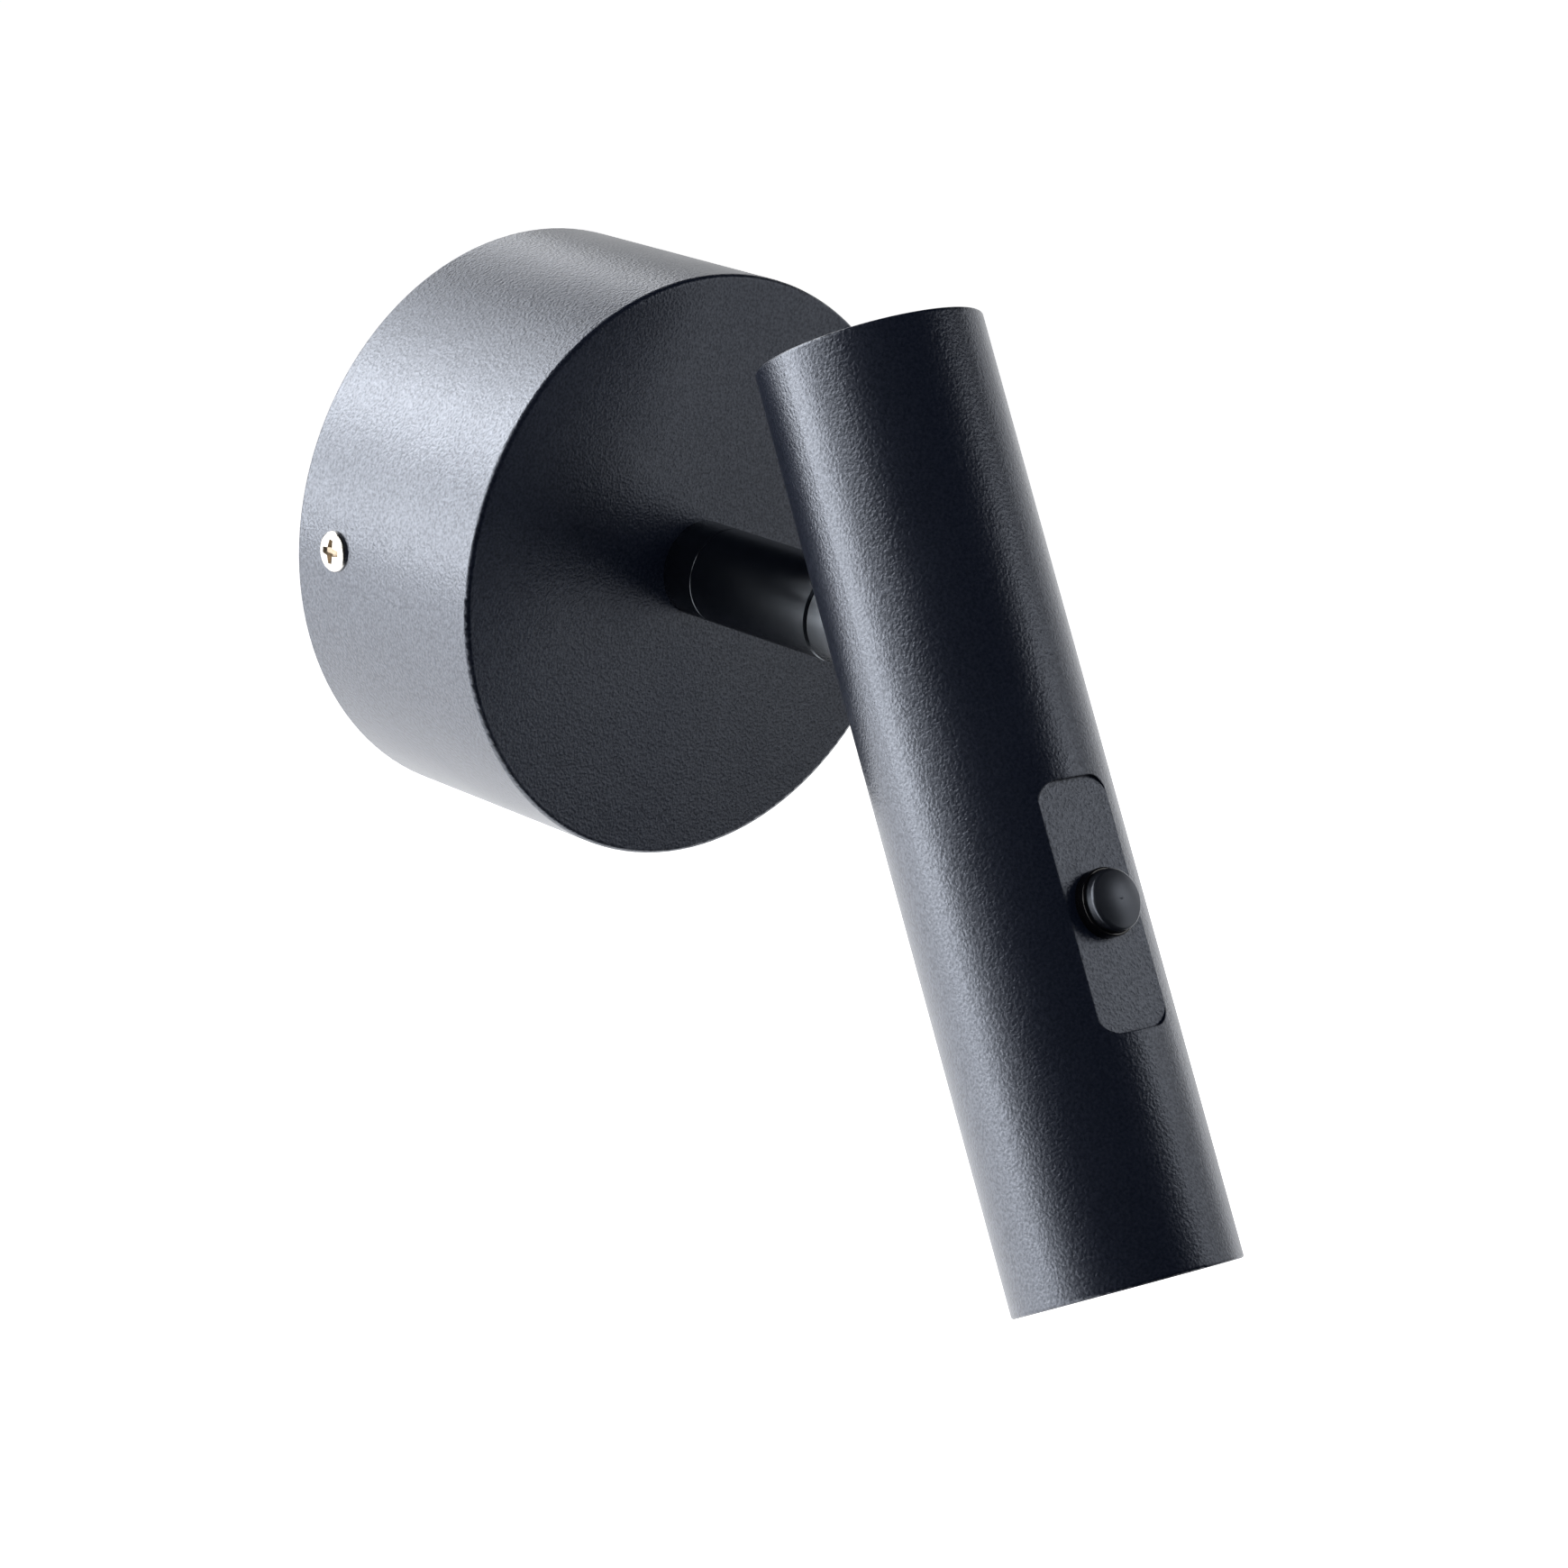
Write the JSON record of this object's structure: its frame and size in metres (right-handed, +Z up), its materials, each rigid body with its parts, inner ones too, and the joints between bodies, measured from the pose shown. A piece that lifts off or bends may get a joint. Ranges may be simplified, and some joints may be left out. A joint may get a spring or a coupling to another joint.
{
  "type": "wall light",
  "caption": "Reading wall light: a round canopy with a short stem carries a slim tube head that swivels, tilts and has a push switch.",
  "frame": {"origin": "centre of the canopy's back plane, where the wall plate meets the wall", "axes": "+Z up, +Y into the wall, the stem and the head stand out along -Y, X level across the wall"},
  "size_m": [0.1022, 0.1755, 0.1555],
  "materials": {
    "powder_black": "fine-textured powder coat",
    "satin_black": "smooth satin black",
    "nickel_steel": "nickel-plated, bright",
    "zinc_steel": "zinc-plated",
    "black_steel": "black oxide",
    "machined_aluminium": "machined, plain",
    "brass": "turned brass",
    "gloss_black_plastic": "glossy black",
    "satin_black_plastic": "satin dark grey-black",
    "white_plastic": "moulded white",
    "nylon": "natural nylon",
    "black_rubber": "soft black",
    "board_green": "solder-masked board",
    "board_white": "white-masked metal board",
    "thermal_grey": "soft thermal pad",
    "ceramic": "plain ceramic",
    "phosphor": "soft yellow phosphor",
    "reflector_metal": "vacuum-metallised",
    "clear_glass": "clear",
    "lead_brown": "lead sleeving",
    "lead_green": "lead sleeving",
    "lead_white": "lead sleeving"
  },
  "bodies": {
    "canopy": {"canopy_shell": "powder_black", "wall_plate": "zinc_steel", "canopy_screws": "nickel_steel", "cable_bush": "black_rubber", "terminal_block": "white_plastic", "terminal_clamps": "brass", "terminal_screws": "zinc_steel", "terminal_mount_screw": "zinc_steel", "earth_washer": "zinc_steel", "earth_lug": "brass", "earth_screw": "zinc_steel", "driver_case": "white_plastic", "driver_lid": "white_plastic", "driver_board": "board_green", "driver_screws": "zinc_steel", "supply_leads": "lead_brown", "earth_lead": "lead_green", "output_leads": "lead_white", "stem_collar": "satin_black", "stem_tube": "satin_black", "stem_washer": "zinc_steel", "stem_nut": "zinc_steel", "stem_bush": "nylon"},
    "knuckle": {"knuckle": "satin_black", "swivel_washer": "nylon", "swivel_stop_pin": "zinc_steel", "swivel_spring_washer": "zinc_steel", "swivel_nut": "zinc_steel", "arm_leads": "lead_white"},
    "head": {"head_tube": "powder_black", "top_cap": "powder_black", "top_cap_screw": "black_steel", "pivot_block": "machined_aluminium", "pivot_block_screws": "black_steel", "tilt_pin": "zinc_steel", "tilt_washers": "nylon", "switch_housing": "gloss_black_plastic", "switch_spring": "zinc_steel", "switch_saddle": "nylon", "switch_nut": "zinc_steel", "switch_base": "gloss_black_plastic", "switch_tags": "brass", "heat_sink": "machined_aluminium", "heat_sink_screws": "black_steel", "thermal_pad": "thermal_grey", "led_board": "board_white", "led_chip": "ceramic", "led_phosphor": "phosphor", "led_screws": "zinc_steel", "reflector": "reflector_metal", "lens": "clear_glass", "retaining_ring": "satin_black", "flex_leads": "lead_white", "switch_leads": "lead_white", "led_leads": "lead_white"},
    "button": {"switch_button": "satin_black_plastic"}
  },
  "joints": [
    {"name": "head_swivel", "type": "hinge", "parent": "canopy", "child": "knuckle", "pos_m": [0, -0.0815, 0], "axis": [0, -1, 0], "range_deg": [-170, 170]},
    {"name": "head_tilt", "type": "hinge", "parent": "knuckle", "child": "head", "pos_m": [0, -0.10815, 0], "axis": [-1, 0, 0], "range_deg": [-28.9, 16.1], "deforming": ["flex_leads"]},
    {"name": "switch_press", "type": "slide", "parent": "head", "child": "button", "axis": [0, 0.8755, -0.4833], "range_m": [0, 0.0011], "stiffness_N_per_m": 600, "springref_m": -0.0015, "deforming": ["switch_spring"]}
  ]
}
